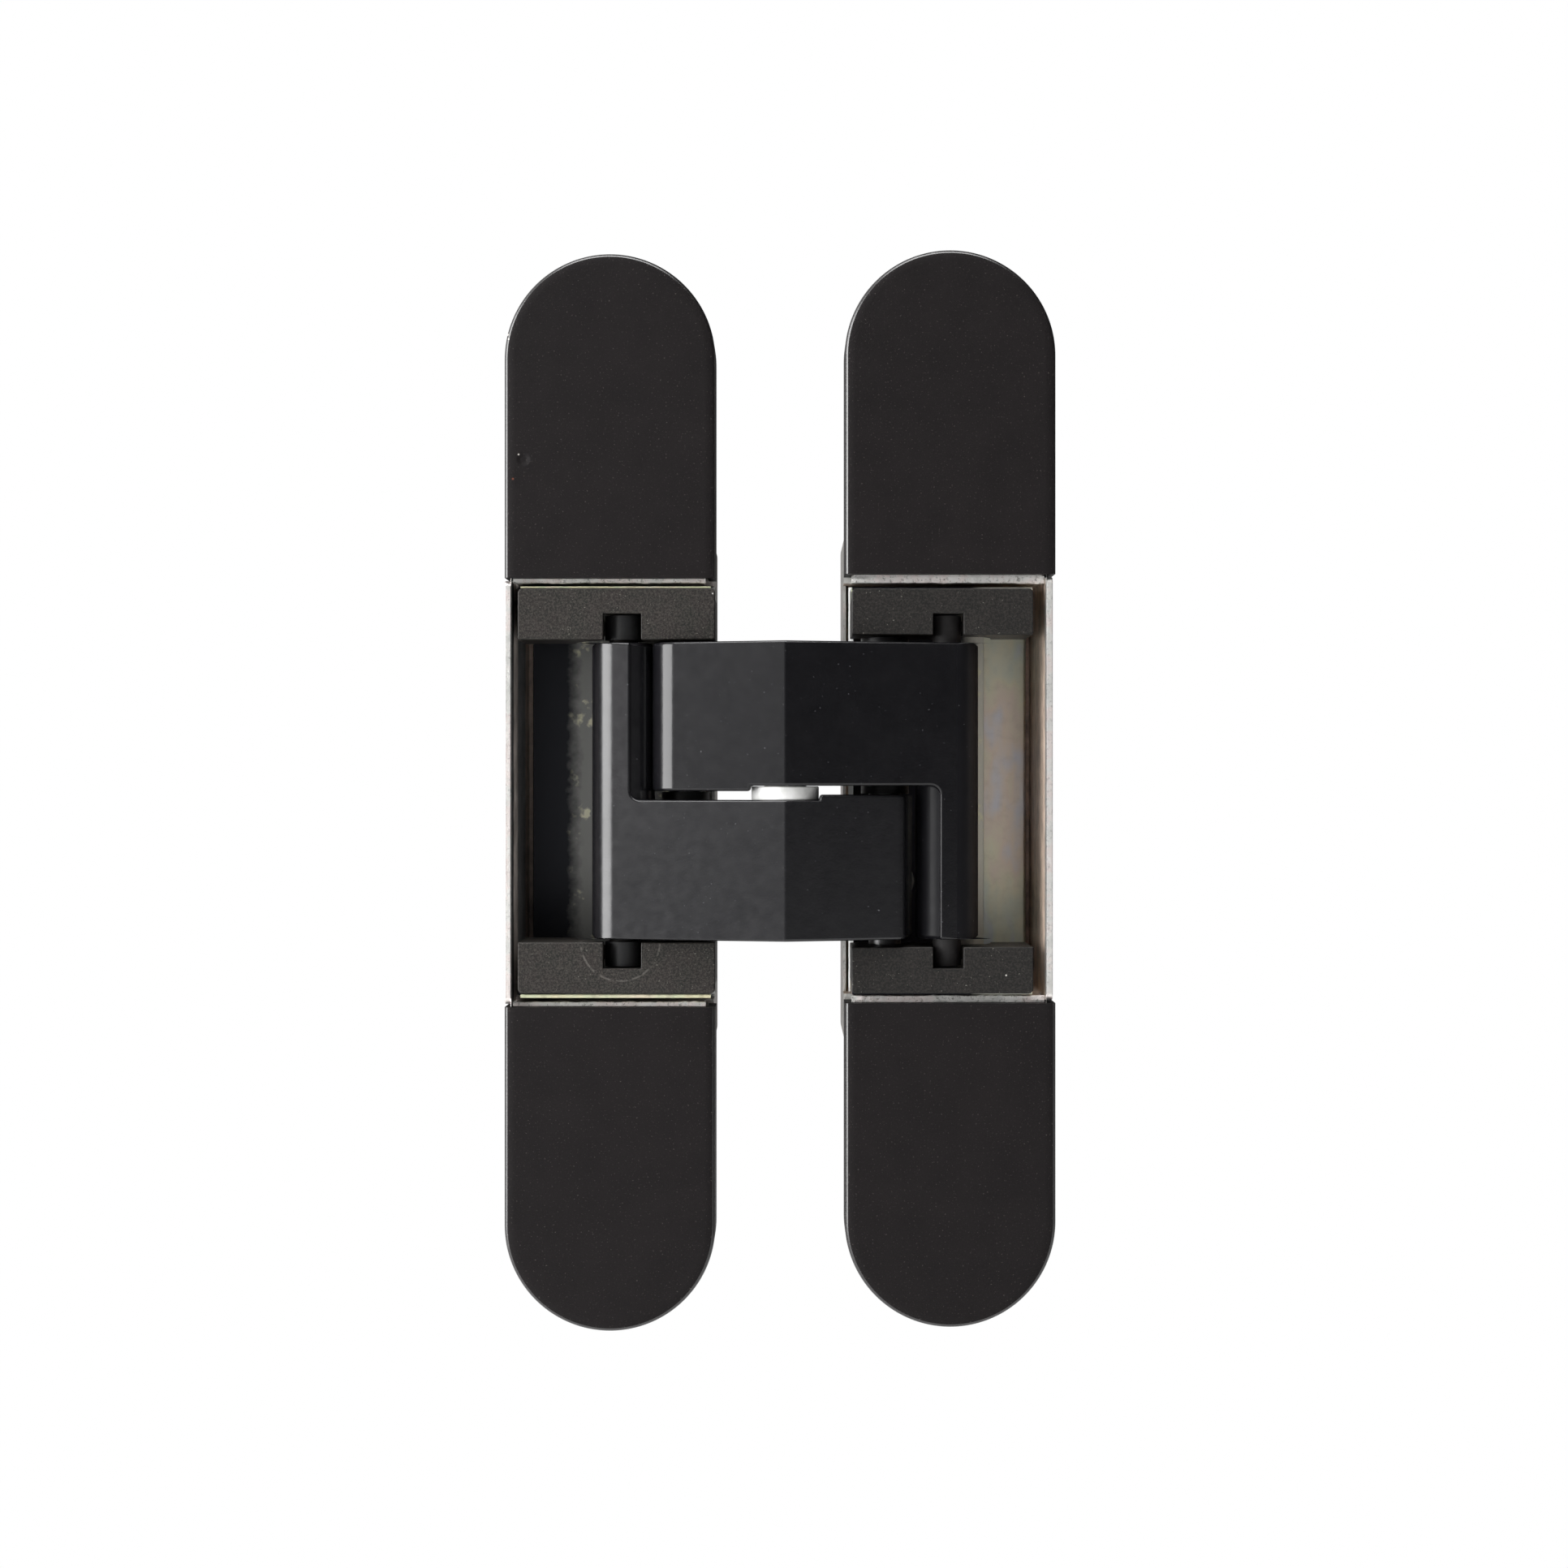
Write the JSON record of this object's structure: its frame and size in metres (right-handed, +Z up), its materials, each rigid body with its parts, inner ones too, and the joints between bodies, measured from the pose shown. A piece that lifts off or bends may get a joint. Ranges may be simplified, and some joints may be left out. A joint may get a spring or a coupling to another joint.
{
  "type": "concealed door hinge",
  "caption": "Concealed door hinge laid open: metal cases with round-ended black caps, joined by crossed black arms that slide in guide blocks.",
  "frame": {"origin": "centre of the frame half's fixing holes, on the plane of its wings' backs", "axes": "+X from the frame half to the leaf half, +Y into the timber, +Z up"},
  "size_m": [0.0576, 0.0286, 0.1128],
  "materials": {
    "zinc_casting": "bright die-cast zinc alloy, slightly rough at its front edges",
    "cap_black": "matte black plastic with fine specks and a softly rounded edge",
    "guide_black": "moulded black plastic, faintly mottled",
    "arm_black": "satin black coating on steel",
    "passivated_steel": "zinc-plated steel with a yellow to pink iridescent passivation",
    "pin_steel": "ground steel",
    "dark_pin": "blackened steel",
    "screw_steel": "zinc-plated screws",
    "sleeve_black": "black moulded sleeve",
    "nylon_white": "white nylon"
  },
  "bodies": {
    "frame_half": {"frame_case": "zinc_casting", "frame_cap_top": "cap_black", "frame_cap_bottom": "cap_black", "frame_clamp_screws": "screw_steel"},
    "frame_carriage": {"frame_slider_plate": "passivated_steel", "frame_bracket": "passivated_steel", "frame_bracket_screws": "screw_steel", "frame_block_top": "guide_black", "frame_block_bottom": "guide_black", "frame_pivot_pin": "pin_steel", "frame_pivot_spacer": "sleeve_black"},
    "upper_link": {"upper_arm": "arm_black", "upper_pivot_bush": "nylon_white", "centre_pin": "dark_pin", "leaf_slide_pin": "dark_pin"},
    "lower_link": {"lower_arm": "arm_black", "lower_pivot_bush": "nylon_white", "centre_washer": "nylon_white", "frame_slide_pin": "dark_pin", "frame_slide_sleeve_top": "sleeve_black", "frame_slide_sleeve_bottom": "sleeve_black"},
    "leaf_carriage": {"leaf_bracket": "passivated_steel", "leaf_bracket_screws": "screw_steel", "leaf_block_top": "guide_black", "leaf_block_bottom": "guide_black", "leaf_pivot_pin": "pin_steel", "leaf_pivot_spacer": "sleeve_black"},
    "leaf_slider": {"leaf_slider_plate": "passivated_steel"},
    "leaf_half": {"leaf_case": "zinc_casting", "leaf_cap_top": "cap_black", "leaf_cap_bottom": "cap_black", "leaf_clamp_screws": "screw_steel"}
  },
  "joints": [
    {"name": "frame_side_adjust", "type": "slide", "parent": "frame_half", "child": "frame_carriage", "axis": [1, 0, 0], "range_m": [-0.0005, 0.0005]},
    {"name": "frame_arm_turn", "type": "hinge", "parent": "frame_carriage", "child": "upper_link", "pos_m": [0.00781, -0.00516, 0.00016], "axis": [0, 0, -1], "range_deg": [0, 100]},
    {"name": "arms_cross_turn", "type": "hinge", "parent": "upper_link", "child": "lower_link", "pos_m": [0.01844, -0.0131, 0.00016], "axis": [0, 0, -1], "range_deg": [-20, 0]},
    {"name": "leaf_arm_turn", "type": "hinge", "parent": "lower_link", "child": "leaf_carriage", "pos_m": [0.02907, -0.00516, 0.00016], "axis": [0, 0, -1], "range_deg": [0, 100]},
    {"name": "leaf_depth_adjust", "type": "slide", "parent": "leaf_carriage", "child": "leaf_slider", "axis": [0, 1, 0], "range_m": [-0.0005, 0.0005]},
    {"name": "leaf_side_adjust", "type": "slide", "parent": "leaf_slider", "child": "leaf_half", "axis": [1, 0, 0], "range_m": [-0.0005, 0.0005]}
  ],
  "couplings": [
    {"joint": "arms_cross_turn", "follows": "frame_arm_turn", "ratio": -0.2},
    {"joint": "leaf_arm_turn", "follows": "frame_arm_turn", "ratio": 1}
  ]
}
